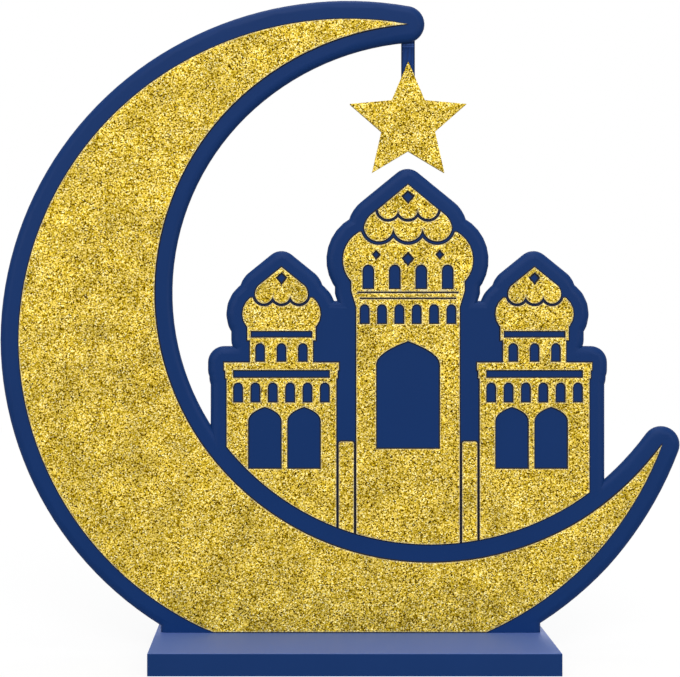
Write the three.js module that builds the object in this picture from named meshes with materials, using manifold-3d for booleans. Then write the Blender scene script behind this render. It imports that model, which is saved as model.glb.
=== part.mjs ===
// Eid table decoration: a crescent moon board with a mosque and a hanging star.
//
// A flat navy board is cut as a crescent with a three-towered mosque standing inside it. It
// stands by a tongue in the groove of a base slab. Gold glitter card panels are glued on its
// front, pierced with windows through which the navy board shows. A five-pointed star of two
// layers of card hangs from the crescent's upper tip by a short ribbon.
//
// Millimetres. X to the right, Y to the back, Z up. The origin is the centre of the base
// slab's underside. All other pieces are drawn in a group whose height 0 is the slab's top.

import * as THREE from 'three';
import { mergeVertices } from 'three/addons/utils/BufferGeometryUtils.js';
import Module from 'manifold-3d';

const wasm = await Module();
wasm.setup();

// Base slab, with a blind groove for the board's tongue
const baseWidth = 175.8;
const baseDepth = 76;
const baseThickness = 9.7;
const baseEdge = 0.3;
const grooveDepth = 6.5;
const grooveClearance = 0.3;

// Backing board, with its navy borders round the gold panels. Its edge is rounded over from
// both faces up to a narrow flat rim, along an arc that is wider than it is deep. The crescent's
// border shifts outwards, so that it is wider along the outer edge. The notch between two
// towers closes a little above the centre tower's eaves, where the wall behind them begins.
const boardThickness = 5;
const boardRim = 0.6;
const boardRounding = 3.4;
const footWidth = 171.3;
const footHeight = 8;
const tongueWidth = 120;
const crescentBorder = 8.35;
const crescentBorderShift = 0.4;
const mosqueBorder = 7.4;
const notchRise = 2.8;

// Glitter card panels, and the navy lines between them
const cardThickness = 0.6;
const pillarGap = 1.2;
const capLine = 1.35;
const bandLine = 1.75;
const baseGap = 0.5;

// Crescent panel. A main circle runs along its outer edge. A point on an edge has an angle round
// the circle's centre, in degrees, and a distance out from the circle, or negative inside it.
// Each edge is a chain of arcs from the upper tip to the right tip: an arc starts at one point,
// passes through the next and ends at the one after. The lowest arc sinks below the base slab's
// top, which cuts the crescent off straight.
const crescentRadius = 142.5;
const crescentShift = -6.6;
const crescentSink = 10.9;
const upperTip = { angle: 77.5, out: 3.2 };
const rightTip = { angle: 342.2, out: 11.3 };
const outerEdge = {
  upperTip,
  top: { angle: 103.6, out: 0.9 },
  topLeft: { angle: 119.2, out: 0.2 },
  upperLeft: { angle: 150.2, out: 0 },
  left: { angle: 180, out: 0.3 },
  lowerLeft: { angle: 209.9, out: -0.1 },
  bottomLeft: { angle: 245.1, out: -0.1 },
  bottom: { angle: 272.2, out: 0.4 },
  bottomRight: { angle: 297.3, out: 5 },
  lowerRight: { angle: 308.2, out: 6.7 },
  right: { angle: 320.2, out: 8.6 },
  belowTip: { angle: 332.2, out: 10 },
  rightTip,
};
const innerEdge = {
  upperTip,
  top: { angle: 95.1, out: -11.4 },
  topLeft: { angle: 113.6, out: -26.5 },
  upperLeft: { angle: 135.4, out: -42.3 },
  leftHigh: { angle: 164, out: -57.4 },
  left: { angle: 192, out: -65 },
  lowerLeft: { angle: 229.6, out: -64.7 },
  bottom: { angle: 262.8, out: -53.6 },
  bottomRight: { angle: 293.1, out: -33.7 },
  lowerRight: { angle: 309, out: -19.9 },
  right: { angle: 323.7, out: -5.8 },
  besideTip: { angle: 332.7, out: 2.6 },
  rightTip,
};

// Mosque towers. The centre tower's peak rises to just below the star, and the side towers'
// eaves lie a step below its eaves. The bottom is a height above the base slab's top. A crown,
// with its dome, caps and apex, counts its heights from its own foot, which stands above the
// eaves by the levels between them. A pair is a half width and a height.
const towerSpacing = 56.9;
const eavesStep = 25;
const centreTower = {
  bottom: 36,
  body: { halfWidth: 23.2 },
  neck: { halfWidth: 25.4, taper: 7.2, height: 4.7 },
  dome: { neck: 25.7, widest: [29.2, 10.1], shoulder: [21.9, 21.8] },
  band: { shoulder: [16.2, 29.9], side: [18.6, 27.1], halfWidth: 19.7, height: 23.7, drop: 6 },
  cap: { halfWidth: 13.5, height: 31.9, drop: 4.2 },
  apex: 43.1,
};
const sideTower = {
  bottom: 41,
  body: { halfWidth: 24.6 },
  frieze: { halfWidth: 25.2, height: 3.6 },
  cornice: { halfWidth: 25.8, height: 3.4 },
  drum: { halfWidth: 14.1, height: 10.1 },
  neck: { halfWidth: 15.3, height: 6.3 },
  dome: { neck: 15.6, widest: [17.5, 6.3], shoulder: [14, 12.7] },
  cap: { shoulder: [10.5, 18], side: [11.5, 16.2], halfWidth: 11.8, height: 13.6, drop: 3.4 },
  apex: 26.5,
};
const lobesPerScallop = 3;

// Openings pierced in the crowns. A cap's diamond hangs a gap below the apex. The other
// openings have heights above the crown's foot. A diamond rises above its widest level and
// falls below it.
const capDiamond = { halfWidth: 2.8, apexGap: 2.6, rise: 2.6, fall: 3.3 };
const sideDiamond = { halfWidth: 2.4, apexGap: 2.4, rise: 2.3, fall: 3.1 };
const domeDiamond = { halfWidth: 2.7, level: 9.9, rise: 2.8, fall: 3.2 };
const smallDiamond = { halfWidth: 1.8, level: 11.7, rise: 2, fall: 2.2 };
const smallDiamondOffset = 14.3;
const domeWindows = { count: 4, pitch: 11.9, width: 5.4, top: 7.3, bottom: -3.9 };

// Openings pierced in the rest of a tower, with heights above its eaves, or negative below
const upperLine = { halfWidth: 22.8, bottom: 6.2, top: 7 };
const lowerLine = { halfWidth: 21.7, bottom: 3.5, top: 4.3 };
const galleryWindows = { count: 6, pitch: 7.8, width: 4.6, top: 1.4, bottom: -7.7 };
const tallWindow = { halfWidth: 14.4, apex: -15.2, shoulder: -20.5, spring: -25.8, bottom: -63.8 };
const neckSlot = { halfWidth: 13.9, bottom: 11.2, top: 14.3 };
const drumWindows = { count: 3, pitch: 9.6, width: 4.5, top: 8.9, bottom: 0.3 };
const friezeSlot = { halfWidth: 21.8, bottom: -6.9, top: -3.3 };
const bodyWindows = { count: 6, pitch: 7.8, width: 4.6, top: -8.8, bottom: -18 };
const twinWindow = { halfWidth: 7.6, apex: -19.8, shoulder: -22.3, spring: -26.4, bottom: -47.8 };
const twinPitch = 17.6;
const twinInset = 1.35;

// Pillar strips that fill the space between two towers, with their top above the centre
// tower's eaves, or negative below
const pillarTop = -60.5;
const pillarCorner = 0.9;

// Star of two card layers, and the ribbon that is glued behind the crescent's tip and held
// between the two layers. The star hangs above the mosque's peak, which lies a little to the
// left of the ribbon's axis.
const starPoints = 5;
const starRadius = 27.8;
const starWaist = 12.75;
const starClearance = 8.2;
const peakOffset = 0.5;
const starFrontThickness = 1.4;
const starBackThickness = 1.6;
const ribbonOffset = 1.25;
const ribbonWidth = 6.2;
const ribbonThickness = 0.5;
const ribbonClearance = 0.3;
const ribbonDrop = 8.15;
const ribbonGluedLength = 11;
const ribbonHeldLength = 15;

// Fineness: steps along the crescent, along the domes and along small curves, the steps of a
// pointed head and of a rounded edge, and the turn above which a bordered corner is rounded
const crescentStep = 6;
const domeStep = 3;
const smallStep = 1.5;
const headSteps = 6;
const edgeSteps = 3;
const roundedTurn = 0.3;

const boardEdge = { width: boardRounding, depth: (boardThickness - boardRim) / 2 };
const squareEdge = { width: 0, depth: 0 };
const frontFace = -boardThickness / 2;
const backFace = boardThickness / 2;
const cardFront = frontFace - cardThickness;

// How far a cutter passes the face it cuts, and joined outlines reach into each other
const reach = 1;

// Points of the arc through three points, without its last point
function arcThrough(start, middle, end, step) {
  const [ax, ay] = start;
  const [bx, by] = [middle[0] - ax, middle[1] - ay];
  const [cx, cy] = [end[0] - ax, end[1] - ay];
  const turn = 2 * (bx * cy - by * cx);
  const ux = (cy * (bx * bx + by * by) - by * (cx * cx + cy * cy)) / turn;
  const uy = (bx * (cx * cx + cy * cy) - cx * (bx * bx + by * by)) / turn;
  const radius = Math.hypot(ux, uy);
  const from = Math.atan2(-uy, -ux);
  let sweep = Math.atan2(cy - uy, cx - ux) - from;
  if (turn > 0 && sweep < 0) sweep += 2 * Math.PI;
  if (turn < 0 && sweep > 0) sweep -= 2 * Math.PI;
  const count = Math.max(2, Math.ceil(Math.abs(sweep) * radius / step));
  return Array.from({ length: count }, (_, i) => {
    const angle = from + sweep * i / count;
    return [ax + ux + radius * Math.cos(angle), ay + uy + radius * Math.sin(angle)];
  });
}

// Points of a chain of arcs, without its last point
function arcChain(knots, step) {
  const points = [];
  for (let i = 0; i + 2 < knots.length; i += 2) {
    points.push(...arcThrough(knots[i], knots[i + 1], knots[i + 2], step));
  }
  return points;
}

function counterClockwise(outline) {
  const area = outline.reduce((sum, [x, z], i) => {
    const [nextX, nextZ] = outline[(i + 1) % outline.length];
    return sum + x * nextZ - nextX * z;
  }, 0);
  return area > 0 ? outline : [...outline].reverse();
}

// The outline moved outwards by a distance, with arcs round its outward corners
function grown(outline, distance) {
  const ring = counterClockwise(outline);
  return ring.flatMap(([x, z], i) => {
    const [beforeX, beforeZ] = ring[(i + ring.length - 1) % ring.length];
    const [afterX, afterZ] = ring[(i + 1) % ring.length];
    const arriving = Math.atan2(z - beforeZ, x - beforeX);
    let turn = Math.atan2(afterZ - z, afterX - x) - arriving;
    if (turn > Math.PI) turn -= 2 * Math.PI;
    if (turn < -Math.PI) turn += 2 * Math.PI;
    const outward = arriving - Math.PI / 2;
    const moved = (angle, by) => [x + by * Math.cos(angle), z + by * Math.sin(angle)];
    if (turn < roundedTurn) return [moved(outward + turn / 2, distance / Math.cos(turn / 2))];
    const steps = Math.max(2, Math.ceil(turn * distance / smallStep));
    return Array.from({ length: steps + 1 }, (_, k) => moved(outward + turn * k / steps, distance));
  });
}

function shifted(outline, x, z = 0) {
  return outline.map(([px, pz]) => [px + x, pz + z]);
}

// Completes the right half of an outline with its mirror image
function symmetric(rightHalf) {
  const leftHalf = rightHalf.filter(([x]) => x > 0).map(([x, z]) => [-x, z]);
  return [...rightHalf, ...leftHalf.reverse()];
}

function rectangle(left, right, bottom, top) {
  return [[left, bottom], [right, bottom], [right, top], [left, top]];
}

function strip({ halfWidth, bottom, top }) {
  return rectangle(-halfWidth, halfWidth, bottom, top);
}

function disc(x, z, radius) {
  const steps = Math.ceil(2 * Math.PI * radius / smallStep);
  return Array.from({ length: steps }, (_, i) => {
    const angle = 2 * Math.PI * (i + 0.5) / steps;
    return [x + radius * Math.cos(angle), z + radius * Math.sin(angle)];
  });
}

function solidOf(geometry) {
  geometry.deleteAttribute('normal');
  geometry.deleteAttribute('uv');
  const merged = mergeVertices(geometry);
  const vertProperties = new Float32Array(merged.attributes.position.array);
  const triVerts = new Uint32Array(merged.index.array);
  return new wasm.Manifold(new wasm.Mesh({ numProp: 3, vertProperties, triVerts }));
}

function extruded(outline, depth, edge) {
  const points = counterClockwise(outline).map(([x, y]) => new THREE.Vector2(x, y));
  return new THREE.ExtrudeGeometry(new THREE.Shape(points), {
    depth: depth - 2 * edge.depth,
    bevelEnabled: edge.width > 0,
    bevelThickness: edge.depth,
    bevelSize: edge.width,
    bevelOffset: -edge.width,
    bevelSegments: edgeSteps,
  });
}

// Upright plate: an outline in X and Z that reaches from a front Y to a back Y
function plate(outline, front, back, edge = squareEdge) {
  const geometry = extruded(outline, back - front, edge);
  geometry.rotateX(Math.PI / 2);
  geometry.translate(0, back - edge.depth, 0);
  return solidOf(geometry);
}

function boardPlate(outline, edge = boardEdge) {
  return plate(outline, frontFace, backFace, edge);
}

function card(outline) {
  return plate(outline, cardFront, frontFace);
}

function cardCutter(outline) {
  return plate(outline, cardFront - reach, frontFace + reach);
}

function joined(solids) {
  return solids.reduce((sum, solid) => sum.add(solid));
}

function pierced(solid, outlines) {
  return outlines.reduce((rest, outline) => rest.subtract(cardCutter(outline)), solid);
}

function meshOf(name, solid, material) {
  const { vertProperties, triVerts } = solid.getMesh();
  const geometry = new THREE.BufferGeometry();
  geometry.setAttribute('position', new THREE.BufferAttribute(vertProperties, 3));
  geometry.setIndex(new THREE.BufferAttribute(triVerts, 1));
  geometry.computeVertexNormals();
  const mesh = new THREE.Mesh(geometry, material);
  mesh.name = name;
  return mesh;
}

// Round lobes that hang below a height and meet in cusps, from right to left
function lobes({ halfWidth, drop }) {
  const width = 2 * halfWidth / lobesPerScallop;
  const radius = (width * width / 4 + drop * drop) / (2 * drop);
  return Array.from({ length: lobesPerScallop }, (_, i) => {
    const right = halfWidth - i * width;
    return { right, middle: right - width / 2, left: right - width, radius };
  });
}

function scallopedEdge(scallop) {
  const { halfWidth, height, drop } = scallop;
  const arcs = lobes(scallop).flatMap(({ right, middle, left }) => {
    return arcThrough([right, height], [middle, height - drop], [left, height], smallStep);
  });
  return [...arcs, [-halfWidth, height]];
}

// Cuts away what a scalloped piece covers, and a line's width below it
function cutBelowScallop(solid, scallop, line, top) {
  const { halfWidth, height, drop } = scallop;
  const discs = lobes(scallop).map(({ middle, radius }) => {
    return disc(middle, height - drop + radius, radius + line);
  });
  return pierced(solid, [strip({ halfWidth: halfWidth + line, bottom: height, top }), ...discs]);
}

// Pointed cap that rounds from its slopes into an upright side
function capSide({ shoulder, side, halfWidth, height }) {
  return arcThrough(shoulder, side, [halfWidth, height], smallStep);
}

function plainCap(apex, cap) {
  return symmetric([[cap.halfWidth, cap.height], ...capSide(cap).reverse(), [0, apex]]);
}

function scallopedCap(apex, cap) {
  const rightSide = capSide(cap);
  const leftSide = rightSide.map(([x, z]) => [-x, z]).reverse();
  return [[0, apex], ...rightSide, ...scallopedEdge(cap), ...leftSide];
}

// Dome that swells from its shoulder to its widest point and draws in to its neck
function domeOutline({ neck, widest, shoulder }) {
  return symmetric([...arcThrough([neck, 0], widest, shoulder, domeStep), shoulder]);
}

function diamond({ halfWidth, level, rise, fall }) {
  return [[0, level - fall], [halfWidth, level], [0, level + rise], [-halfWidth, level]];
}

function apexDiamond(apex, shape) {
  return diamond({ ...shape, level: apex - shape.apexGap - shape.rise });
}

// Row of windows with half-round heads
function windowRow({ count, pitch, width, top, bottom }) {
  const radius = width / 2;
  const spring = top - radius;
  const head = arcThrough([radius, spring], [0, top], [-radius, spring], smallStep);
  const outline = [[-radius, bottom], [radius, bottom], ...head, [-radius, spring]];
  return Array.from({ length: count }, (_, i) => shifted(outline, (i - (count - 1) / 2) * pitch));
}

// Window whose sides rise upright and lean in to a pointed head
function pointedWindow({ halfWidth, apex, shoulder, spring, bottom }) {
  const corners = [[halfWidth, spring], [halfWidth, shoulder], [0, apex]];
  const curve = new THREE.QuadraticBezierCurve(...corners.map(([x, z]) => new THREE.Vector2(x, z)));
  const head = curve.getPoints(headSteps).map(({ x, y }) => [x, y]);
  return symmetric([[halfWidth, bottom], ...head]);
}

const crescentCentre = [crescentShift, crescentRadius - crescentSink];

function crescentPoint({ angle, out }) {
  const turn = angle * Math.PI / 180;
  const radius = crescentRadius + out;
  return [crescentCentre[0] + radius * Math.cos(turn), crescentCentre[1] + radius * Math.sin(turn)];
}

function crescentOutline(shift = 0) {
  const knot = ({ angle, out }) => crescentPoint({ angle, out: out + shift });
  return [
    ...arcChain(Object.values(outerEdge).map(knot), crescentStep),
    ...arcChain(Object.values(innerEdge).map(knot).reverse(), crescentStep),
  ];
}

const crescentBoardOutline = grown(crescentOutline(crescentBorderShift), crescentBorder);
const crescentTrimOutline = grown(crescentOutline(), crescentBorder);
const crescentLowest = Math.min(...crescentBoardOutline.map(([, z]) => z)) - reach;

// The ribbon leaves the board at the lower edge of the crescent's tip. The star hangs below,
// its top point on the ribbon's axis.
const [tipX, tipZ] = crescentPoint(upperTip);
const ribbonAxis = tipX + ribbonOffset;
const tipEdge = tipZ + crescentBorderShift - crescentBorder;
const starTop = tipEdge - ribbonDrop;
const starCentre = starTop - starRadius;

// Heights of the towers, from the peak down
const peak = starCentre - starWaist - starClearance;
const centreCrownFoot = peak - mosqueBorder - centreTower.apex;
const centreEaves = centreCrownFoot - centreTower.neck.height - centreTower.neck.taper;
const sideEaves = centreEaves - eavesStep;
const sideCrownFoot = sideEaves + sideTower.drum.height + sideTower.neck.height;
const mosqueAxis = ribbonAxis - peakOffset;
const sideAxis = (side) => mosqueAxis + side * towerSpacing;

// Outlines of the levels below a tower's crown. Each one reaches into the next.
function centreTowerLevels() {
  const { bottom, body, neck } = centreTower;
  const neckBottom = centreEaves + neck.taper;
  const neckTop = centreCrownFoot + reach;
  const sides = [[body.halfWidth, centreEaves], [neck.halfWidth, neckBottom], [neck.halfWidth, neckTop]];
  return [symmetric(sides), strip({ ...body, bottom, top: centreEaves + reach })];
}

function sideTowerLevels() {
  const { bottom, body, frieze, cornice, drum, neck } = sideTower;
  const drumTop = sideEaves + drum.height;
  const corniceBottom = sideEaves - cornice.height;
  const friezeBottom = corniceBottom - frieze.height;
  return [
    strip({ ...neck, bottom: drumTop, top: sideCrownFoot + reach }),
    strip({ ...drum, bottom: corniceBottom, top: drumTop + reach }),
    strip({ ...cornice, bottom: corniceBottom, top: sideEaves }),
    strip({ ...frieze, bottom: friezeBottom, top: corniceBottom + reach }),
    strip({ ...body, bottom, top: friezeBottom + reach }),
  ];
}

// Base slab
function baseSlab() {
  const outline = rectangle(-baseWidth / 2, baseWidth / 2, -baseDepth / 2, baseDepth / 2);
  const geometry = extruded(outline, baseThickness, { width: baseEdge, depth: baseEdge });
  geometry.translate(0, 0, baseEdge);
  const grooveWidth = tongueWidth + 2 * grooveClearance;
  const grooveBottom = baseThickness - grooveDepth;
  const groove = rectangle(-grooveWidth / 2, grooveWidth / 2, grooveBottom, baseThickness + reach);
  return solidOf(geometry).subtract(plate(groove, frontFace - grooveClearance, backFace + grooveClearance));
}

// Backing board: the crescent and each part of the mosque with its border, the wall between
// the towers, the foot, and the tongue
function backingBoard() {
  const bordered = (outline, axis) => boardPlate(shifted(grown(outline, mosqueBorder), axis));
  const crown = (tower, cap, foot) => [plainCap(tower.apex, cap), domeOutline(tower.dome)].map((outline) => {
    return shifted(outline, 0, foot);
  });
  const centreParts = [
    ...crown(centreTower, centreTower.band, centreCrownFoot),
    ...centreTowerLevels(),
  ];
  const sideParts = [
    ...crown(sideTower, sideTower.cap, sideCrownFoot),
    ...sideTowerLevels(),
  ];
  const wallBottom = centreTower.bottom;
  const belowBase = strip({ halfWidth: baseWidth, bottom: crescentLowest, top: 0 });
  const standing = joined([
    boardPlate(crescentBoardOutline),
    ...centreParts.map((outline) => bordered(outline, mosqueAxis)),
    ...sideParts.map((outline) => bordered(outline, sideAxis(-1))),
    ...sideParts.map((outline) => bordered(outline, sideAxis(1))),
    boardPlate(rectangle(sideAxis(-1), sideAxis(1), wallBottom, centreEaves + notchRise)),
    boardPlate(strip({ halfWidth: footWidth / 2, bottom: -footHeight, top: footHeight })),
  ]).subtract(plate(belowBase, frontFace - reach, backFace + reach));
  const tongueBottom = grooveClearance - grooveDepth;
  const tongue = strip({ halfWidth: tongueWidth / 2, bottom: tongueBottom, top: footHeight / 2 });
  return standing.add(boardPlate(tongue, squareEdge));
}

// Crescent panel, cut straight just above the base slab
function crescentPanel() {
  const belowBase = strip({ halfWidth: baseWidth, bottom: crescentLowest, top: baseGap });
  return pierced(card(crescentOutline()), [belowBase]);
}

// Tower panels, drawn round the tower's own axis and moved to their place
function placed(solid, axis, height = 0) {
  return solid.translate([axis, 0, height]);
}

function trimmedByCrescent(solid) {
  return solid.subtract(cardCutter(crescentTrimOutline));
}

function centreCapPanel() {
  const { apex, cap } = centreTower;
  const panel = pierced(card([[0, apex], ...scallopedEdge(cap)]), [apexDiamond(apex, capDiamond)]);
  return placed(panel, mosqueAxis, centreCrownFoot);
}

function centreScallopPanel() {
  const { apex, band, cap } = centreTower;
  const panel = cutBelowScallop(card(scallopedCap(apex, band)), cap, capLine, apex + reach);
  return placed(panel, mosqueAxis, centreCrownFoot);
}

function centreTowerPanel() {
  const { dome, apex, band } = centreTower;
  const crownOpenings = [
    diamond(domeDiamond),
    shifted(diamond(smallDiamond), -smallDiamondOffset),
    shifted(diamond(smallDiamond), smallDiamondOffset),
    ...windowRow(domeWindows),
  ];
  const openings = [
    strip(upperLine),
    strip(lowerLine),
    ...windowRow(galleryWindows),
    pointedWindow(tallWindow),
  ];
  const crown = cutBelowScallop(card(domeOutline(dome)), band, bandLine, apex);
  const levels = centreTowerLevels().map(card);
  const tower = pierced(joined([placed(crown, 0, centreCrownFoot), ...levels]), [
    ...crownOpenings.map((outline) => shifted(outline, 0, centreCrownFoot)),
    ...openings.map((outline) => shifted(outline, 0, centreEaves)),
  ]);
  return trimmedByCrescent(placed(tower, mosqueAxis));
}

function sideCapPanel(side) {
  const { apex, cap } = sideTower;
  const panel = pierced(card(scallopedCap(apex, cap)), [apexDiamond(apex, sideDiamond)]);
  return placed(panel, sideAxis(side), sideCrownFoot);
}

function sideTowerPanel(side) {
  const { dome, apex, cap } = sideTower;
  const twins = [-1, 1].map((twin) => {
    return shifted(pointedWindow(twinWindow), twin * twinPitch / 2 - side * twinInset);
  });
  const openings = [
    strip(neckSlot),
    ...windowRow(drumWindows),
    strip(friezeSlot),
    ...windowRow(bodyWindows),
    ...twins,
  ];
  const crown = cutBelowScallop(card(domeOutline(dome)), cap, capLine, apex);
  const levels = sideTowerLevels().map(card);
  const tower = pierced(
    joined([placed(crown, 0, sideCrownFoot), ...levels]),
    openings.map((outline) => shifted(outline, 0, sideEaves)),
  );
  return trimmedByCrescent(placed(tower, sideAxis(side)));
}

// Pillar strip that fills the space between two towers, a gap from each
function pillarPanel(side) {
  const inner = centreTower.body.halfWidth + pillarGap + pillarCorner;
  const outer = towerSpacing - sideTower.body.halfWidth - pillarGap - pillarCorner;
  const top = centreEaves + pillarTop - pillarCorner;
  const core = rectangle(inner, outer, centreTower.bottom, top);
  const outline = grown(core, pillarCorner).map(([x, z]) => [side * x, z]);
  return trimmedByCrescent(placed(card(outline), mosqueAxis));
}

function starOutline() {
  return Array.from({ length: 2 * starPoints }, (_, i) => {
    const radius = i % 2 === 0 ? starRadius : starWaist;
    const angle = Math.PI / 2 + i * Math.PI / starPoints;
    return [radius * Math.cos(angle), starCentre + radius * Math.sin(angle)];
  });
}

// Ribbon: it lies on the back of the board, drops from the tip to the star's top point and
// runs on between the star's layers
const ribbonBack = backFace + ribbonThickness;

function ribbonStretch(bottom, top) {
  return placed(plate(strip({ halfWidth: ribbonWidth / 2, bottom, top }), backFace, ribbonBack), ribbonAxis);
}

function starFront() {
  return placed(plate(starOutline(), backFace - starFrontThickness, backFace), ribbonAxis);
}

// Back layer of the star, sunk by the ribbon's thickness where it closes over the ribbon's end
function starBack() {
  const layer = plate(starOutline(), backFace, backFace + starBackThickness);
  const seat = strip({
    halfWidth: ribbonWidth / 2 + ribbonClearance,
    bottom: starTop - ribbonHeldLength - ribbonClearance,
    top: starTop + reach,
  });
  return placed(layer.subtract(plate(seat, backFace - reach, ribbonBack)), ribbonAxis);
}

const navyPaint = new THREE.MeshStandardMaterial({ color: 0x1c3667, roughness: 0.45, flatShading: true });
const goldGlitter = new THREE.MeshStandardMaterial({
  color: 0xc8ad44,
  roughness: 0.4,
  metalness: 0.6,
  flatShading: true,
});
const navySatin = new THREE.MeshStandardMaterial({ color: 0x1d396a, roughness: 0.6, flatShading: true });

const decoration = new THREE.Group();
decoration.add(meshOf('base_slab', baseSlab(), navyPaint));

const sign = new THREE.Group();
sign.position.z = baseThickness;
decoration.add(sign);

sign.add(meshOf('backing_board', backingBoard(), navyPaint));
sign.add(meshOf('crescent_panel', crescentPanel(), goldGlitter));
sign.add(meshOf('centre_cap_panel', centreCapPanel(), goldGlitter));
sign.add(meshOf('centre_scallop_panel', centreScallopPanel(), goldGlitter));
sign.add(meshOf('centre_tower_panel', centreTowerPanel(), goldGlitter));
for (const [name, side] of [['left', -1], ['right', 1]]) {
  sign.add(meshOf(`${name}_cap_panel`, sideCapPanel(side), goldGlitter));
  sign.add(meshOf(`${name}_tower_panel`, sideTowerPanel(side), goldGlitter));
  sign.add(meshOf(`${name}_pillar_panel`, pillarPanel(side), goldGlitter));
}
const ribbonStretches = [
  ['ribbon_glued_end', tipEdge, tipEdge + ribbonGluedLength],
  ['ribbon_drop', starTop + ribbonClearance, tipEdge - ribbonClearance],
  ['ribbon_star_end', starTop - ribbonHeldLength, starTop],
];
for (const [name, bottom, top] of ribbonStretches) {
  sign.add(meshOf(name, ribbonStretch(bottom, top), navySatin));
}
sign.add(meshOf('star_front', starFront(), goldGlitter));
sign.add(meshOf('star_back', starBack(), goldGlitter));

export default decoration;
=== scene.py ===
# %% [markdown]
# # A crescent table decoration, dressed in paint, glitter and ribbon
#
# The object is a navy board cut as a crescent moon with a small mosque inside it. Gold glitter
# card is glued on its front, it stands in a slab, and a glitter star hangs from its upper tip
# by a short ribbon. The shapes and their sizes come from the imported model, in metres. This
# lesson gives them the surfaces that the real one shows.

# %% Load the model
import math

import bmesh
import bpy
import numpy as np
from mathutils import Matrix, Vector
from mathutils.geometry import delaunay_2d_cdt
from mathutils.kdtree import KDTree


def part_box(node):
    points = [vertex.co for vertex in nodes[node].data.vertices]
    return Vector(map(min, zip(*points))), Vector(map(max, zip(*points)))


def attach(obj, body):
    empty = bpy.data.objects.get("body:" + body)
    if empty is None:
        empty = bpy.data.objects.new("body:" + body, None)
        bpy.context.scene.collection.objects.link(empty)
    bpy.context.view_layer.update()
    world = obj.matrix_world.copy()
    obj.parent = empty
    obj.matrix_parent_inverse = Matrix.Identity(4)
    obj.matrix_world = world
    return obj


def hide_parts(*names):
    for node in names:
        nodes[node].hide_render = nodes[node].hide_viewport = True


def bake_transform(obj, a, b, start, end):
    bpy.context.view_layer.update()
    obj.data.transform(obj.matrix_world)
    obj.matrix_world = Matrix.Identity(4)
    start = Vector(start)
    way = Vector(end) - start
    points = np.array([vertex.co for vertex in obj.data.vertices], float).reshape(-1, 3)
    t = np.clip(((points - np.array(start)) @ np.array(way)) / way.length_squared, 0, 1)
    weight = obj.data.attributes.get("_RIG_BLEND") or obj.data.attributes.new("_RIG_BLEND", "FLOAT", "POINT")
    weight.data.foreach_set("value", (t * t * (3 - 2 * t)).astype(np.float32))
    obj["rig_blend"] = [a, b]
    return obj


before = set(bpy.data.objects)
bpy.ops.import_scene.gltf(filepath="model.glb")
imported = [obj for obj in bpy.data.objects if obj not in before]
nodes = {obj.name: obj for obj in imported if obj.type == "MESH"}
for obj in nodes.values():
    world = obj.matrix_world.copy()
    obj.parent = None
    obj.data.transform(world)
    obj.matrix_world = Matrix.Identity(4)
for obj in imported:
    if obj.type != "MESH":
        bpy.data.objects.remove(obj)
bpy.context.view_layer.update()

# %% [markdown]
# ## Camera
# The photograph looks at the object straight from the front and a little above its middle, so
# that the base slab's top shows as a thin band. Its upright lines stay upright, as they do when
# the camera looks level and the frame is shifted instead of tilted. The focal length and the
# pixel that the lens looks at were found by laying the model's outline over the photograph.

# %% Place the camera
PHOTO_WIDTH = 680
PHOTO_HEIGHT = 677
SENSOR_WIDTH = 36
FOCAL_LENGTH_IN_PIXELS = 1327
LENS_AXIS_PIXEL = (288.5, 302.5)
CAMERA_PLACE = (-0.02805, -0.59958, 0.15833)

lens = bpy.data.cameras.new("front_camera")
lens.sensor_width = SENSOR_WIDTH
lens.lens = FOCAL_LENGTH_IN_PIXELS / PHOTO_WIDTH * SENSOR_WIDTH
lens.shift_x = (PHOTO_WIDTH / 2 - LENS_AXIS_PIXEL[0]) / PHOTO_WIDTH
lens.shift_y = (LENS_AXIS_PIXEL[1] - PHOTO_HEIGHT / 2) / PHOTO_WIDTH
camera = bpy.data.objects.new("front_camera", lens)
camera.location = CAMERA_PLACE
camera.rotation_euler = (math.radians(90), 0, 0)
bpy.context.scene.collection.objects.link(camera)
bpy.context.scene.camera = camera
print("lens:", round(lens.lens, 2), "mm, shift:", round(lens.shift_x, 4), round(lens.shift_y, 4))

# %% [markdown]
# ## Small helpers for shader nodes
# Every finish here is a few nodes in a row. One helper adds a node, sets its options and fills
# its sockets with plain values or with links. Short ones stand for the nodes that are used most:
# a range, a mix of two colours, a scaled colour, noise and a bump. Another opens a node group
# with named inputs and outputs, so that an effect is built once and used in several materials
# with different values.

# %% Add a node
def fill(tree, node, sockets):
    for socket, value in sockets.items():
        if isinstance(value, bpy.types.NodeSocket):
            tree.links.new(value, node.inputs[socket])
        else:
            node.inputs[socket].default_value = value
    return node


def add(tree, kind, sockets=None, **options):
    node = tree.nodes.new(kind)
    for option, value in options.items():
        setattr(node, option, value)
    return fill(tree, node, sockets or {})


def maths(tree, operation, *values):
    node = add(tree, "ShaderNodeMath", dict(enumerate(values)), operation=operation)
    return node.outputs[0]


# %% Add the nodes that are used most
def ranged(tree, value, start=0.0, end=1.0, low=0.0, high=1.0):
    limits = {"From Min": start, "From Max": end, "To Min": low, "To Max": high}
    return add(tree, "ShaderNodeMapRange", dict(limits, Value=value)).outputs[0]


def mixed(tree, share, first, second):
    mix = add(tree, "ShaderNodeMix", {"Factor": share}, data_type="RGBA")
    return fill(tree, mix, {6: first, 7: second}).outputs[2]


def scaled(tree, colour, factor):
    scale = add(tree, "ShaderNodeVectorMath", {0: colour, "Scale": factor}, operation="SCALE")
    return scale.outputs[0]


def noise(tree, place, scale, detail):
    texture = {"Vector": place, "Scale": scale, "Detail": detail}
    return add(tree, "ShaderNodeTexNoise", texture).outputs[0]


def bumped(tree, height, strength, distance):
    relief = {"Height": height, "Strength": strength, "Distance": distance}
    return add(tree, "ShaderNodeBump", relief).outputs[0]


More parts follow.
